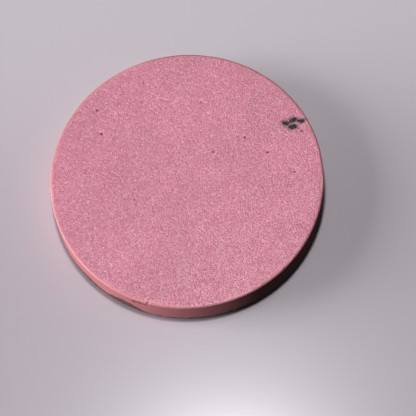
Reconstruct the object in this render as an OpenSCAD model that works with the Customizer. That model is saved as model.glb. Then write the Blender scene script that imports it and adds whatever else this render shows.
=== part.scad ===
// Shaving soap puck: one pressed cake of soap, with the dark bits that are stuck in it.
// Millimetres. The base stands on z = 0, and the cake's axis is +Z.

/* [Cake] */
// Diameter of the cake
cake_d = 76; // [50:1:110]
// Thickness of the cake
cake_h = 9.5; // [7:0.5:30]
// Radius of the worn edge round the lather face
top_edge_r = 0.4; // [0.3:0.1:2]
// Radius of the softer edge round the base
base_edge_r = 0.6; // [0.4:0.1:2]

/* [Chip in the lower wall] */
// How far the chip reaches up the wall
chip_high = 4.8; // [2.5:0.1:6]
// How far in the chip's flat face lies at the level of the base
chip_deep = 0.7; // [0.3:0.05:1.2]
// Bearing of the chip, anticlockwise from +X
chip_at = -123; // [-180:1:180]

/* [Worn part of the lower wall] */
// How far the wear reaches up the wall
wear_high = 3.3; // [2.5:0.1:6]
// How far in the wear's flat face lies at the level of the base
wear_deep = 0.8; // [0.3:0.05:1.2]
// Bearing of the worn part, anticlockwise from +X
wear_at = -142; // [-180:1:180]

/* [Nicks in the top edge] */
// Length of a nick along the edge
nick_len = 1.6; // [1.2:0.1:3]
// How far a nick reaches down the wall and in over the lather face, past the rounded edge
nick_past = 0.05; // [0.05:0.05:0.5]

/* [Crack in the wall] */
// Length of the crack along the wall
crack_len = 2.8; // [1:0.1:5]
// Width of the crack at its middle
crack_w = 1.2; // [0.2:0.1:1.6]
// How deep the crack goes into the wall
crack_deep = 0.8; // [0.3:0.1:1.5]
// Wall left between the crack and the rounded top edge
crack_gap = 0.1; // [0.05:0.05:0.5]
// Bearing of the crack, anticlockwise from +X
crack_at = -115; // [-180:0.5:180]

/* [Residue flakes] */
// Distance of the flakes' common centre in from the rim of the flat lather face
residue_inset = 3.4; // [2.8:0.2:12]
// Bearing of the flakes, anticlockwise from +X
residue_at = 22.5; // [-180:0.5:180]
// How deep the flakes are pressed into the soap
residue_sunk = 0.15; // [0.05:0.05:0.5]
// How far the flakes stand out of the soap
residue_proud = 0.1; // [0.05:0.05:0.5]

/* [Dark flecks] */
// Radius of a large fleck
fleck_r = 0.25; // [0.2:0.01:0.5]
// Radius of a small fleck
speck_r = 0.16; // [0.12:0.01:0.3]
// How far a fleck of either size stands out of the soap
fleck_proud = 0.06; // [0.02:0.01:0.12]

/* [Hidden] */
$fn = 96;
cake_r = cake_d / 2;
// Radius of the flat part of the lather face
face_r = cake_r - top_edge_r;
// A cutter runs on this far past the face that it opens
past = 1;

// Bearings of the nicks
nick_bearings = [-111.5, -51, 131];

// Flecks in the lather face, each as [distance in from the rim of its flat part, bearing]
large_flecks = [[4.7, 135], [9.9, 145], [2.8, 17.5], [14, 12.5], [17.5, 31]];
small_flecks = [[27, 41], [7.7, -3], [11, 113.5], [14.4, 75], [21.8, -162], [10.2, -85], [5.8, 107.5]];

// Ragged outlines of the flakes, round their common centre
flake_left = [[-3.4, 0.2], [-3.2, 0.9], [-2.6, 0.7], [-2.3, 0.8], [-1.7, 0.3], [-1.6, -0.2],
              [-2.0, -0.5], [-2.5, -0.2], [-3.1, -0.1]];
flake_upper = [[-1.4, 0.4], [-1.3, 1.0], [-0.8, 1.2], [-0.7, 1.7], [-0.2, 1.5], [0.1, 1.8],
               [0.6, 1.5], [0.5, 1.1], [0.5, 0.7], [-0.1, 0.4], [-0.6, 0.6], [-1.0, 0.2]];
flake_lower = [[-1.9, -1.0], [-1.5, -0.5], [-1.0, -0.6], [-0.5, -0.3], [0.0, -0.5], [0.5, -0.4],
               [0.4, -1.1], [0.2, -1.6], [-0.4, -1.4], [-0.8, -1.8], [-1.4, -1.5]];
flake_right = [[0.8, 0.6], [1.0, 1.1], [1.6, 0.9], [2.0, 0.9], [2.5, 0.9], [2.8, 0.5], [2.6, 0.0],
               [1.7, -0.1], [1.5, 0.4], [1.1, 0.4]];

// Point on the lather face, at a distance in from the rim of its flat part and a bearing
function on_face(inset, at) = [(face_r - inset) * cos(at), (face_r - inset) * sin(at), cake_h];

// Half section of the cake: square corners at the axis, one arc at each edge
module cake_section() {
    translate([0, base_edge_r])
        square([cake_r, cake_h - base_edge_r - top_edge_r]);
    translate([0, cake_h / 2])
        square([face_r, cake_h / 2]);
    square([cake_r - base_edge_r, cake_h / 2]);
    translate([face_r, cake_h - top_edge_r])
        circle(top_edge_r);
    translate([cake_r - base_edge_r, base_edge_r])
        circle(base_edge_r);
}

// Block that planes a leaning flat off the lower wall: the flat starts at the given height and is deepest
// at the base
module wall_flat(high, deep, at) {
    lean = atan(deep / high);
    rotate([0, 0, at])
        translate([cake_r, 0, high])
            rotate([0, lean, 0])
                translate([0, -cake_r, -2 * high])
                    cube([cake_r, 2 * cake_r, 3 * high]);
}

// Ball that takes a nick of the given length out of the corner of wall and lather face. The nick reaches
// just past the rounded edge, both down the wall and in over the face
module top_nick(at) {
    half = nick_len / 2;
    reach = top_edge_r + nick_past;
    outside = (half * half - reach * reach) / (2 * reach);
    rotate([0, 0, at])
        translate([cake_r + outside, 0, cake_h + outside])
            sphere(norm([reach + outside, outside]));
}

// A slim rhombus that lies along the wall, just below the rounded top edge
module wall_crack() {
    half_len = crack_len / 2;
    half_w = crack_w / 2;
    rotate([0, 0, crack_at])
        translate([cake_r - crack_deep, 0, cake_h - top_edge_r - crack_gap - half_w])
            rotate([90, 0, 90])
                linear_extrude(height = crack_deep + past)
                    polygon([[-half_len, 0], [0, half_w], [half_len, 0], [0, -half_w]]);
}

// One flake's prism, from its seat in the soap to a height over the lather face
module flake_prism(outline, proud) {
    translate(on_face(residue_inset, residue_at) - [0, 0, residue_sunk])
        linear_extrude(height = residue_sunk + proud)
            polygon(outline);
}

module residue_flake(outline) {
    color("#3b3438")
        flake_prism(outline, residue_proud);
}

// Balls of one radius in the lather face
module fleck_balls(places, r) {
    for (p = places)
        translate(on_face(p[0], p[1]) - [0, 0, r - fleck_proud])
            sphere(r);
}

module all_flecks() {
    fleck_balls(large_flecks, fleck_r);
    fleck_balls(small_flecks, speck_r);
}

module dark_flecks() {
    color("#4a2f36")
        all_flecks();
}

// The cake: its flakes and flecks are pressed in, so each fills its own pocket
module soap_cake() {
    color("#d48a9c")
        difference() {
            rotate_extrude()
                cake_section();
            wall_flat(chip_high, chip_deep, chip_at);
            wall_flat(wear_high, wear_deep, wear_at);
            for (at = nick_bearings)
                top_nick(at);
            wall_crack();
            for (outline = [flake_left, flake_upper, flake_lower, flake_right])
                flake_prism(outline, past);
            all_flecks();
        }
}

soap_cake();
residue_flake(flake_left);  // residue_flake_left
residue_flake(flake_upper);  // residue_flake_upper
residue_flake(flake_lower);  // residue_flake_lower
residue_flake(flake_right);  // residue_flake_right
dark_flecks();
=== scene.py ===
"""Shaving soap puck: the grained cake, and the dried residue and grit that are stuck in it.

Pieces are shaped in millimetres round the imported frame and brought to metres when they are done.
"""

import math

import bmesh
import bpy
import numpy as np
from mathutils import Matrix, Vector, noise
from mathutils.bvhtree import BVHTree


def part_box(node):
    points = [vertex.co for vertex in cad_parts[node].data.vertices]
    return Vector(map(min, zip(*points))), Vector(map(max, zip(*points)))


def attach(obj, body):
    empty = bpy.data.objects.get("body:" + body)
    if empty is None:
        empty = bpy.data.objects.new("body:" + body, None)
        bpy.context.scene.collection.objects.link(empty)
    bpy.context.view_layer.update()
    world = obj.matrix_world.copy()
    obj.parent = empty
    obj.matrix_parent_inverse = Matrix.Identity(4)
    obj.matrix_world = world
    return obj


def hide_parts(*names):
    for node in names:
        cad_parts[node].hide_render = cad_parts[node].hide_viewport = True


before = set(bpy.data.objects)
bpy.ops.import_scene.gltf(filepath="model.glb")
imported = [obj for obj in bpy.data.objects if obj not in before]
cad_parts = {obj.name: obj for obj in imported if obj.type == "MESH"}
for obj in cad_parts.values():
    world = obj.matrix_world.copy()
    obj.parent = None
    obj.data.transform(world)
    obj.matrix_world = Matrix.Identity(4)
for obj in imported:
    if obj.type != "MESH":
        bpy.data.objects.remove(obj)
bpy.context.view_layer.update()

MM = 0.001
TO_MM = Matrix.Scale(1 / MM, 4)
TO_METRES = Matrix.Scale(MM, 4)

# The cake's own sizes, in millimetres
low, high = (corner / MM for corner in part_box("soap_cake"))
CAKE_R = (high.x - low.x) / 2
CAKE_H = high.z
TOP_EDGE_R = 0.4
BASE_EDGE_R = 0.6
# Breaks below this height are old, and dirt fills this share of their depth
FRESH_BREAK_Z = CAKE_H - TOP_EDGE_R - 0.1
DIRT_FILL = 0.9
# The side of the wall that has the old breaks
BROKEN_SIDE = Vector((-1, -1, 0)).normalized()

# A point this deep in a break belongs to it fully, and the mark spreads over this many edges round it
FULL_BREAK_DEPTH = 0.3
BREAK_SPREAD = 4

# How fine the pieces' skins are: sizes of face in millimetres, and cuts to each edge of a face
CAKE_FACE = 0.5
EDGE_CUTS = 1
BREAK_CUTS = 3
CRUST_FACE = 0.07

# The grain shows in from the rim and below the lather face: from nothing to full over these distances
GRAIN_FROM_RIM = (0.4, 1.0)
GRAIN_BELOW_FACE = (0.4, 0.15)
# Painted shade: the foot of the wall is darkened partly as dirt and partly as the shade under the base
# Dirt and shade at the foot of the wall: height where it is gone, height where it is full, and its most
FOOT_DIRT_AND_SHADE = (1.7, 0.6, 0.9)
# The dark foot reaches this much higher on the side of the old breaks, between these distances in from the
# rim
DARK_FOOT_RISE = 1.2
DARK_FOOT_RISE_FROM_RIM = (4.0, 1.0)

FLOOR_COLOUR = (0.56, 0.50, 0.555, 1)
FACE_DARK, FACE_LIGHT = (0.50, 0.117, 0.187, 1), (0.76, 0.275, 0.385, 1)
# Painted glint: the near-white centre of the palest grains
PAINTED_GLINT = (0.95, 0.68, 0.75, 1)
SMOOTH_DARK, SMOOTH_LIGHT = (0.59, 0.196, 0.233, 1), (0.70, 0.270, 0.304, 1)
# Painted shade: the darker red inside the nicks at the top edge
NICK_SHADE = (0.52, 0.125, 0.17, 1)
# Dirt colours, which also stand in for the painted shade at the foot of the wall and in the breaks
DIRT_AND_SHADE_DARK, DIRT_AND_SHADE_LIGHT = (0.09, 0.045, 0.04, 1), (0.25, 0.135, 0.125, 1)
STAIN = (0.12, 0.085, 0.105, 1)
RESIDUE_DARK, RESIDUE_DUSTY = (0.007, 0.004, 0.005, 1), (0.22, 0.13, 0.17, 1)
GRIT_DARK, GRIT_LIGHT = (0.03, 0.010, 0.014, 1), (0.11, 0.035, 0.05, 1)
WHITE = (1.0, 1.0, 1.0)

PIECES = bpy.data.collections.new("pieces")
RESIDUE_NODES = ["residue_flake_left", "residue_flake_upper", "residue_flake_lower", "residue_flake_right"]


# ---------------------------------------------------------------- camera, floor and light

# The camera looks down from the front, rolled a little, with a long lens
CAMERA_ELEVATION = math.radians(68.7)
CAMERA_ROLL = math.radians(-6.0)
CAMERA_DISTANCE = 0.4997
CAMERA_AIM = Vector((0.0050, -0.0083, 0.0062))
CAMERA_LENS = 155.8


def bearing_and_elevation(bearing, elevation):
    """Unit vector to a bearing, anticlockwise from +X, and an elevation, both in degrees."""
    b, e = math.radians(bearing), math.radians(elevation)
    return Vector((math.cos(b) * math.cos(e), math.sin(b) * math.cos(e), math.sin(e)))


def add_camera():
    forward = Vector((0, math.cos(CAMERA_ELEVATION), -math.sin(CAMERA_ELEVATION)))
    right = Vector((1, 0, 0))
    up = right.cross(forward)
    cos_roll, sin_roll = math.cos(CAMERA_ROLL), math.sin(CAMERA_ROLL)
    rolled_right = right * cos_roll + up * sin_roll
    rolled_up = up * cos_roll - right * sin_roll
    axes = Matrix((rolled_right, rolled_up, -forward)).transposed()
    lens = bpy.data.cameras.new("camera")
    lens.lens = CAMERA_LENS
    lens.clip_start = 0.01
    camera = bpy.data.objects.new("camera", lens)
    camera.matrix_world = Matrix.Translation(CAMERA_AIM - forward * CAMERA_DISTANCE) @ axes.to_4x4()
    bpy.context.scene.collection.objects.link(camera)
    bpy.context.scene.camera = camera


def add_area_light(name, bearing, elevation, distance, width, height, watts, tint=WHITE):
    """A soft panel that faces the cake."""
    panel = bpy.data.lights.new(name, "AREA")
    panel.shape = "RECTANGLE"
    panel.size = width
    panel.size_y = height
    panel.energy = watts
    panel.color = tint
    lamp = bpy.data.objects.new(name, panel)
    towards = bearing_and_elevation(bearing, elevation)
    turn = towards.to_track_quat("Z", "Y").to_matrix().to_4x4()
    lamp.matrix_world = Matrix.Translation(towards * distance) @ turn
    bpy.context.scene.collection.objects.link(lamp)
    return lamp


def add_lights():
    # A low, wide window on the left and a soft lamp overhead
    add_area_light("window", bearing=176, elevation=20, distance=2.0, width=1.1, height=1.0, watts=39.0)
    add_area_light("ceiling", bearing=90, elevation=88.5, distance=0.55, width=0.045, height=0.045,
                   watts=1.40, tint=(1.0, 0.99, 1.0))
    # A card that throws light back on to the cake's near left side, in place of the bounce off the floor
    card = add_area_light("bounce_card", bearing=-157, elevation=6, distance=1.2, width=0.3, height=0.2,
                          watts=8.6, tint=(1.0, 0.98, 0.98))
    card.light_linking.receiver_collection = PIECES
    # Two panels that show only as a soft shine on the floor and the lather face
    back = add_area_light("back_shine", bearing=90, elevation=58, distance=1.2, width=0.9, height=0.3,
                          watts=3.2)
    near = add_area_light("near_shine", bearing=90, elevation=79, distance=1.2, width=0.2, height=0.15,
                          watts=0.48)
    for panel in (back, near):
        panel.visible_diffuse = False
    world = bpy.data.worlds.new("room")
    world.use_nodes = True
    room = world.node_tree.nodes["Background"]
    room.inputs["Color"].default_value = (1.0, 0.97, 0.95, 1)
    room.inputs["Strength"].default_value = 0.02
    bpy.context.scene.world = world


# ---------------------------------------------------------------- node helpers


def new_material(name, **settings):
    """A material, its node tree, and its Principled shader with these sockets set."""
    material = bpy.data.materials.new(name)
    material.use_nodes = True
    shader = material.node_tree.nodes["Principled BSDF"]
    for socket, value in settings.items():
        shader.inputs[socket.replace("_", " ")].default_value = value
    return material, material.node_tree, shader


def add_node(tree, kind, inputs=None, **settings):
    """A node with these settings, whose inputs are each linked to a socket or set to a value."""
    node = tree.nodes.new(kind)
    for setting, value in settings.items():
        setattr(node, setting, value)
    for socket, value in (inputs or {}).items():
        if isinstance(value, bpy.types.NodeSocket):
            tree.links.new(value, node.inputs[socket])
        else:
            node.inputs[socket].default_value = value
    return node


def math_node(tree, operation, a, b=0.0):
    return add_node(tree, "ShaderNodeMath", {0: a, 1: b}, operation=operation).outputs[0]


def vector_math(tree, operation, inputs):
    return add_node(tree, "ShaderNodeVectorMath", inputs, operation=operation)


def ramp(tree, value, start, end, low_out=0.0, high_out=1.0):
    """A smooth step from low_out at start to high_out at end."""
    inputs = {"Value": value, "From Min": start, "From Max": end, "To Min": low_out, "To Max": high_out}
    return add_node(tree, "ShaderNodeMapRange", inputs, interpolation_type="SMOOTHSTEP").outputs["Result"]


def mix_colour(tree, share, a, b):
    node = add_node(tree, "ShaderNodeMix", data_type="RGBA")
    for socket, value in ((node.inputs[0], share), (node.inputs[6], a), (node.inputs[7], b)):
        if isinstance(value, bpy.types.NodeSocket):
            tree.links.new(value, socket)
        else:
            socket.default_value = value
    return node.outputs[2]


def millimetres(tree, scale=(1, 1, 1)):
    """Object coordinates in millimetres, stretched by a scale."""
    place = add_node(tree, "ShaderNodeTexCoord").outputs["Object"]
    return add_node(
        tree, "ShaderNodeMapping", {"Vector": place, "Scale": [s / MM for s in scale]}
    ).outputs["Vector"]


def fractal(tree, place, scale, detail=3.0, roughness=0.55):
    inputs = {"Vector": place, "Scale": scale, "Detail": detail, "Roughness": roughness}
    return add_node(tree, "ShaderNodeTexNoise", inputs).outputs["Fac"]


# ---------------------------------------------------------------- materials


def floor_material():
    return new_material("pale_floor", Base_Color=FLOOR_COLOUR, Roughness=0.21, Specular_IOR_Level=0.45)[0]


def stain_share(tree, place):
    """How much of the residue's grey has spread into the soap: most among the flakes, none away from them."""
    ragged = ramp(tree, fractal(tree, place, 1.4), 0.25, 0.75, -0.35, 0.35)
    share = None
    for node in RESIDUE_NODES:
        flake_low, flake_high = (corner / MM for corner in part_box(node))
        centre, half = (flake_low + flake_high) / 2, (flake_high - flake_low) / 2
        reach = (half.x + 0.6, half.y + 0.6, 2.0)
        offset = vector_math(tree, "SUBTRACT", {0: place, 1: centre}).outputs[0]
        offset = vector_math(tree, "DIVIDE", {0: offset, 1: reach}).outputs[0]
        length = vector_math(tree, "LENGTH", {0: offset}).outputs["Value"]
        near = ramp(tree, math_node(tree, "ADD", length, ragged), 0.6, 1.25, 0.8, 0.0)
        share = near if share is None else math_node(tree, "MAXIMUM", share, near)
    return share


def carved_share(tree, attribute):
    return add_node(tree, "ShaderNodeAttribute", attribute_name=attribute).outputs["Fac"]


def soap_material():
    """Rose pink milled soap: fine grains on the lather face, smooth worn edges and a drawn wall."""
    material, tree, shader = new_material(
        "rose_soap", IOR=1.47, Subsurface_Weight=0.05, Subsurface_Radius=(1.0, 0.45, 0.45),
        Subsurface_Scale=0.8 * MM
    )
    place = millimetres(tree)
    height = add_node(tree, "ShaderNodeSeparateXYZ", {0: place}).outputs["Z"]
    flat = vector_math(tree, "MULTIPLY", {0: place, 1: (1, 1, 0)}).outputs[0]
    radius = vector_math(tree, "LENGTH", {0: flat}).outputs["Value"]

    # Where the grain shows: on the lather face, up to its worn edge
    ragged = ramp(tree, fractal(tree, place, 0.8), 0.25, 0.75, -0.3, 0.3)
    worn_radius = math_node(tree, "ADD", radius, ragged)
    inside = ramp(tree, worn_radius, *(CAKE_R - distance for distance in GRAIN_FROM_RIM))
    above = ramp(tree, height, *(CAKE_H - distance for distance in GRAIN_BELOW_FACE))
    grained = math_node(tree, "MULTIPLY", inside, above)

    grains = add_node(tree, "ShaderNodeTexVoronoi", {"Vector": place, "Scale": 2.2}, feature="F1")
    grain_tone = add_node(tree, "ShaderNodeSeparateXYZ", {0: grains.outputs["Color"]}).outputs["X"]
    grain_dome = ramp(tree, grains.outputs["Distance"], 0.1, 0.6, 1.0, 0.0)
    fine = fractal(tree, place, 2.6, 2.0)
    mottle = fractal(tree, place, 0.07, 3.0)

    # Colour: each grain has its own tone and the palest get near-white centres, a painted glint, while the
    # worn edge and the wall are redder
    tone = math_node(tree, "MULTIPLY_ADD", grain_tone, 0.45)
    tree.links.new(math_node(tree, "MULTIPLY", fine, 0.55), tone.node.inputs[2])
    face_colour = mix_colour(tree, tone, FACE_DARK, FACE_LIGHT)
    # Painted glint: the palest grains get near-white centres where a highlight would sit
    painted_glint_share = math_node(tree, "MULTIPLY", ramp(tree, grain_tone, 0.72, 0.92, 0.0, 0.6), grain_dome)
    face_colour = mix_colour(tree, painted_glint_share, face_colour, PAINTED_GLINT)
    smooth_colour = mix_colour(tree, fine, SMOOTH_DARK, SMOOTH_LIGHT)
    colour = mix_colour(tree, grained, smooth_colour, face_colour)
    # Painted shade: the nicks at the top edge are coloured darker red, as their hollows would be in shade
    colour = mix_colour(tree, carved_share(tree, "fresh_break"), colour, NICK_SHADE)

    # Dirt and painted shade darken the foot of the wall, higher on the side of the old breaks, and the breaks
    side = vector_math(tree, "DOT_PRODUCT", {0: flat, 1: BROKEN_SIDE}).outputs["Value"]
    uneven = ramp(tree, fractal(tree, place, 0.6), 0.25, 0.75, 0.35, -0.35)
    rise_start, rise_end = (CAKE_R - distance for distance in DARK_FOOT_RISE_FROM_RIM)
    lift = math_node(tree, "ADD", uneven, ramp(tree, side, rise_start, rise_end, 0.0, DARK_FOOT_RISE))
    # Painted shade with dirt: darker towards the bottom of the wall, where the base casts its shade
    gone, full, most = FOOT_DIRT_AND_SHADE
    foot = ramp(tree, math_node(tree, "SUBTRACT", height, lift), gone, full, 0.0, most)
    crumbs = fractal(tree, place, 1.1, 5.0, 0.65)
    broken = carved_share(tree, "old_break")
    ragged_break = math_node(tree, "ADD", broken, ramp(tree, crumbs, 0.3, 0.7, -0.3, 0.3))
    # Painted shade with dirt: the old breaks are darkened as dirt and as the shade in their hollows
    break_dirt_and_shade = math_node(tree, "MULTIPLY", ramp(tree, ragged_break, 0.1, 0.5), ramp(tree, broken, 0.0, 0.15))
    break_dirt_and_shade = math_node(tree, "MULTIPLY", break_dirt_and_shade, ramp(tree, height, 5.5, 7.5, 1.0, 0.65))
    # The dusty share carries both the dirt and the painted shade
    dusty = math_node(tree, "MAXIMUM", break_dirt_and_shade, foot)
    dirt_and_shade_colour = mix_colour(tree, crumbs, DIRT_AND_SHADE_DARK, DIRT_AND_SHADE_LIGHT)
    colour = mix_colour(tree, dusty, colour, dirt_and_shade_colour)
    dull = ramp(tree, mottle, 0.3, 0.7, 0.94, 1.05)
    colour = vector_math(tree, "SCALE", {0: colour, 3: dull}).outputs[0]
    stained = math_node(tree, "MULTIPLY", stain_share(tree, place), above)
    colour = mix_colour(tree, stained, colour, STAIN)
    tree.links.new(colour, shader.inputs["Base Color"])

    # The worn edge and the wall are duller than the grains
    duller = math_node(tree, "SUBTRACT", 0.15, math_node(tree, "MULTIPLY", grained, 0.15))
    roughness = math_node(tree, "ADD", ramp(tree, fine, 0.35, 0.65, 0.15, 0.42), duller)
    tree.links.new(roughness, shader.inputs["Roughness"])

    # Relief: grains on the face, upright drawing marks on the wall
    streaks = fractal(tree, millimetres(tree, (2.0, 2.0, 0.25)), 1.0, 3.0)
    face_relief = math_node(tree, "MULTIPLY_ADD", fine, 1.2)
    tree.links.new(math_node(tree, "MULTIPLY", grain_dome, 0.7), face_relief.node.inputs[2])
    wall_relief = math_node(tree, "MULTIPLY", streaks, 0.3)
    relief = add_node(tree, "ShaderNodeMix", {0: grained, 2: wall_relief, 3: face_relief})
    bump_inputs = {"Height": relief.outputs[0], "Distance": 0.08 * MM, "Strength": 1.0}
    bump = add_node(tree, "ShaderNodeBump", bump_inputs)
    tree.links.new(bump.outputs["Normal"], shader.inputs["Normal"])
    return material


def residue_material():
    """Dried residue: charcoal grey, matt, with paler dusty patches."""
    material, tree, shader = new_material("dried_residue", Specular_IOR_Level=0.25)
    place = millimetres(tree)
    dust = fractal(tree, place, 2.5, 4.0, 0.7)
    colour = mix_colour(tree, ramp(tree, dust, 0.48, 0.70), RESIDUE_DARK, RESIDUE_DUSTY)
    tree.links.new(colour, shader.inputs["Base Color"])
    tree.links.new(ramp(tree, dust, 0.35, 0.7, 0.35, 0.8), shader.inputs["Roughness"])
    bump = add_node(tree, "ShaderNodeBump", {"Height": fractal(tree, place, 9.0), "Distance": 0.03 * MM})
    tree.links.new(bump.outputs["Normal"], shader.inputs["Normal"])
    return material


def grit_material():
    """Dark red-brown grit, stained pink by the soap."""
    material, tree, shader = new_material("red_brown_grit", Roughness=0.7)
    place = millimetres(tree)
    colour = mix_colour(tree, fractal(tree, place, 6.0), GRIT_DARK, GRIT_LIGHT)
    tree.links.new(colour, shader.inputs["Base Color"])
    return material


# ---------------------------------------------------------------- mesh helpers


def merged_copy(node):
    """A CAD node's solid in millimetres, with the loose triangles of its mesh joined up."""
    bm = bmesh.new()
    bm.from_mesh(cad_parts[node].data)
    bmesh.ops.transform(bm, matrix=TO_MM, verts=bm.verts)
    bmesh.ops.remove_doubles(bm, verts=bm.verts, dist=0.0005)
    return bm


def new_piece(bm, name):
    mesh = bpy.data.meshes.new(name)
    bm.to_mesh(mesh)
    bm.free()
    piece = bpy.data.objects.new(name, mesh)
    bpy.context.scene.collection.objects.link(piece)
    return piece


def remesh(piece, face):
    """Gives a piece an even skin of faces of about this size."""
    skin = piece.modifiers.new("even_skin", "REMESH")
    skin.mode = "VOXEL"
    skin.voxel_size = face
    evaluated = piece.evaluated_get(bpy.context.evaluated_depsgraph_get())
    piece.data = bpy.data.meshes.new_from_object(evaluated)
    piece.data.name = piece.name
    piece.modifiers.clear()


def points_of(mesh):
    points = np.empty(len(mesh.vertices) * 3)
    mesh.vertices.foreach_get("co", points)
    return points.reshape(-1, 3)


def set_points(mesh, points):
    mesh.vertices.foreach_set("co", points.ravel())
    mesh.update()


def finish_piece(piece, material, slot_name, *nodes):
    """Brings a shaped piece to metres, gives it its finish and puts it in the frame."""
    piece.data.transform(TO_METRES)
    piece.data.shade_smooth()
    piece.data.materials.clear()
    piece.data.materials.append(material)
    PIECES.objects.link(piece)
    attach(piece, "root")
    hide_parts(*nodes)


def fbm(point, octaves):
    """Fractal noise, about -1 to 1."""
    return noise.fractal(point, 0.8, 2.0, octaves)


# ---------------------------------------------------------------- the cake


def plain_cake():
    """The cake with its two rounded edges, whole and smooth."""
    bm = bmesh.new()
    bmesh.ops.create_circle(bm, cap_ends=True, radius=CAKE_R, segments=256)
    base_rim = list(bm.edges)
    raised = bmesh.ops.extrude_face_region(bm, geom=list(bm.faces))["geom"]
    top_verts = [g for g in raised if isinstance(g, bmesh.types.BMVert)]
    top_rim = [g for g in raised if isinstance(g, bmesh.types.BMEdge)]
    bmesh.ops.translate(bm, vec=(0, 0, CAKE_H), verts=top_verts)
    for rim, edge_r in ((top_rim, TOP_EDGE_R), (base_rim, BASE_EDGE_R)):
        bmesh.ops.bevel(
            bm, geom=rim, offset=edge_r, segments=8, profile=0.5, affect="EDGES", material=-1
        )
    bmesh.ops.recalc_face_normals(bm, faces=bm.faces)
    return new_piece(bm, "soap_cake_grained")


def on_section(points):
    """The nearest points of the cake's smooth rounded surface, and the outward directions there."""
    r, z = np.hypot(points[:, 0], points[:, 1]), points[:, 2]
    gaps = np.stack([CAKE_R - r, CAKE_H - z, z])
    side = np.argmin(gaps, axis=0)
    new_r = np.where(side == 0, CAKE_R, r)
    new_z = np.where(side == 1, CAKE_H, np.where(side == 2, 0.0, z))
    out_r = (side == 0).astype(float)
    out_z = (side == 1).astype(float) - (side == 2)
    for edge_r, centre_z, up in ((TOP_EDGE_R, CAKE_H - TOP_EDGE_R, 1), (BASE_EDGE_R, BASE_EDGE_R, -1)):
        centre_r = CAKE_R - edge_r
        on_arc = (r > centre_r) & ((z - centre_z) * up > 0)
        length = np.maximum(np.hypot(r - centre_r, z - centre_z), 1e-9)
        arc_r, arc_z = (r - centre_r) / length, (z - centre_z) / length
        new_r = np.where(on_arc, centre_r + edge_r * arc_r, new_r)
        new_z = np.where(on_arc, centre_z + edge_r * arc_z, new_z)
        out_r, out_z = np.where(on_arc, arc_r, out_r), np.where(on_arc, arc_z, out_z)
    turn = points[:, :2] / np.maximum(r, 1e-9)[:, None]
    surface = np.column_stack([turn * new_r[:, None], new_z])
    outward = np.column_stack([turn * out_r[:, None], out_z])
    return surface, outward


def carved_depth(solid, surface, outward):
    """How deep the CAD cake's chip, nicks, crack and pockets go in under each point of the smooth surface."""
    start, reach, grain_of_mesh = 0.3, 8.0, 0.03
    depth = np.zeros(len(surface))
    for i, (p, n) in enumerate(zip(surface, outward)):
        direction = Vector(-n)
        hit = solid.ray_cast(Vector(p) - direction * start, direction, reach)[3]
        if hit is not None and hit - start > grain_of_mesh:
            depth[i] = hit - start
    return depth


def refine(piece, marked, cuts):
    """Smaller faces round the marked points."""
    bm = bmesh.new()
    bm.from_mesh(piece.data)
    bm.verts.ensure_lookup_table()
    faces = {f for i in np.flatnonzero(marked) for f in bm.verts[i].link_faces}
    faces |= {g for f in list(faces) for v in f.verts for g in v.link_faces}
    edges = list({e for f in faces for e in f.edges})
    bmesh.ops.subdivide_edges(bm, edges=edges, cuts=cuts, use_grid_fill=True)
    bmesh.ops.triangulate(bm, faces=[f for f in bm.faces if len(f.verts) > 4])
    bm.to_mesh(piece.data)
    bm.free()


def surface_relief(surface, outward, depth, grit_places):
    """How far each point stands out of the smooth surface: waves, grain, wear, breaks and dimples."""
    relief = np.zeros(len(surface))
    for i, ((x, y, z), n, deep) in enumerate(zip(surface, outward, depth)):
        p = Vector((x, y, z))
        radius = math.hypot(x, y)
        wave = 0.05 * noise.noise(p * 0.05) + 0.03 * noise.noise(p * 0.2)
        if n[2] > 0.95:
            near, _ = noise.voronoi(p * 0.9)
            edge = min(1.0, max(0.0, (CAKE_R - 0.9 + 0.5 * noise.noise(p * 0.9) - radius) / 0.8))
            wave += edge * (0.02 * (0.5 - near[0]) + 0.02 * noise.noise(p * 1.2))
            gap = min((p - centre).length for centre in grit_places)
            wave -= (wave + 0.06) * min(1.0, max(0.0, 1.6 - gap))
        elif n[2] < -0.95:
            wave = -0.02 - 0.02 * noise.noise(p * 0.6)
        else:
            upright = Vector((x * 1.6, y * 1.6, z * 0.15))
            wave += 0.012 * noise.noise(upright) - 0.05 * max(0.0, fbm(p * 0.9, 3) - 0.35)
        rough = min(deep, 1.0)
        wave += rough * (0.16 * fbm(p * 0.9, 4) + 0.08 * noise.noise(p * 4.0))
        relief[i] = wave - deep * (1 - DIRT_FILL * (z < FRESH_BREAK_Z))
    return relief


def mark_breaks(mesh, surface, depth):
    """Stores how much each point belongs to a fresh break, at the top edge, or an old one, further down."""
    broken = np.clip(depth / FULL_BREAK_DEPTH, 0, 1)
    ends = np.empty(len(mesh.edges) * 2, dtype=np.int32)
    mesh.edges.foreach_get("vertices", ends)
    one, other = ends.reshape(-1, 2).T
    for _ in range(BREAK_SPREAD):
        near = broken.copy()
        np.maximum.at(near, one, broken[other])
        np.maximum.at(near, other, broken[one])
        broken = near
    upper = surface[:, 2] > FRESH_BREAK_Z
    on_rim = np.hypot(surface[:, 0], surface[:, 1]) > CAKE_R - 1.0
    for name, place in (("fresh_break", upper & on_rim), ("old_break", ~upper)):
        mesh.attributes.new(name, "FLOAT", "POINT").data.foreach_set("value", broken * place)


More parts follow.
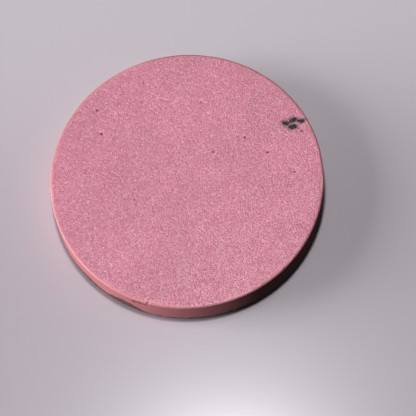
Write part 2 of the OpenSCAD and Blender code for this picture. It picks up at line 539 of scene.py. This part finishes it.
def soap_cake():
    cad = merged_copy("soap_cake")
    solid = BVHTree.FromBMesh(cad)
    cad.free()
    piece = plain_cake()
    remesh(piece, CAKE_FACE)
    surface, outward = on_section(points_of(piece.data))
    refine(piece, (outward[:, 2] > 0.05) & (outward[:, 2] < 0.95), EDGE_CUTS)
    surface, outward = on_section(points_of(piece.data))
    refine(piece, carved_depth(solid, surface, outward) > 0, BREAK_CUTS)
    surface, outward = on_section(points_of(piece.data))
    depth = carved_depth(solid, surface, outward)
    relief = surface_relief(surface, outward, depth, [centre for centre, _ in grit_balls()])
    points = surface + outward * relief[:, None]
    # The relief must not push the foot of the wall below the base
    points[:, 2] = np.maximum(points[:, 2], 0)
    set_points(piece.data, points)
    mark_breaks(piece.data, surface, depth)
    finish_piece(piece, soap_material(), "soap", "soap_cake")


# ---------------------------------------------------------------- residue and grit


def residue_crust(node, material):
    """A flake's outline, broken up into a crumbly crust."""
    piece = new_piece(merged_copy(node), node + "_crust")
    remesh(piece, CRUST_FACE)
    mesh = piece.data
    normals = np.empty(len(mesh.vertices) * 3)
    mesh.vertices.foreach_get("normal", normals)
    points = points_of(mesh)
    for i, n in enumerate(normals.reshape(-1, 3)):
        p = Vector(points[i])
        ragged = 0.30 * fbm(p * 1.6, 4) - 0.05
        lump = 0.12 * fbm(p * 2.4, 3) + 0.05 * noise.noise(p * 7.0)
        points[i] += n * (ragged, ragged, lump)
    set_points(mesh, points)
    finish_piece(piece, material, "residue", node)


def grit_balls():
    """Centre and radius of each of the CAD flecks."""
    balls = merged_copy("dark_flecks")
    left = set(balls.verts)
    found = []
    while left:
        ball, edge = set(), {left.pop()}
        while edge:
            ball |= edge
            edge = {e.other_vert(v) for v in edge for e in v.link_edges} - ball
        left -= ball
        points = np.array([v.co for v in ball])
        found.append((Vector((points.min(0) + points.max(0)) / 2), (points.max(0) - points.min(0)).max() / 2))
    balls.free()
    return sorted(found, key=lambda ball: tuple(ball[0]))


def grit(material):
    """The flecks as small uneven grains, each where its CAD ball is."""
    bm = bmesh.new()
    for centre, radius in grit_balls():
        place = Matrix.Translation(centre)
        grain = bmesh.ops.create_icosphere(bm, subdivisions=3, radius=radius, matrix=place)
        for v in grain["verts"]:
            v.co = centre + (v.co - centre) * (1.35 + 0.35 * noise.noise(v.co * 5.0))
    piece = new_piece(bm, "dark_grit")
    finish_piece(piece, material, "fleck", "dark_flecks")


# ---------------------------------------------------------------- scene


def add_floor():
    bm = bmesh.new()
    bmesh.ops.create_grid(bm, x_segments=1, y_segments=1, size=3.0)
    floor = new_piece(bm, "floor")
    floor.data.materials.append(floor_material())
    floor.visible_diffuse = False
    floor.visible_glossy = False


bpy.context.scene.view_settings.view_transform = "Standard"
add_camera()
add_lights()
add_floor()
soap_cake()
residue = residue_material()
for residue_node in RESIDUE_NODES:
    residue_crust(residue_node, residue)
grit(grit_material())
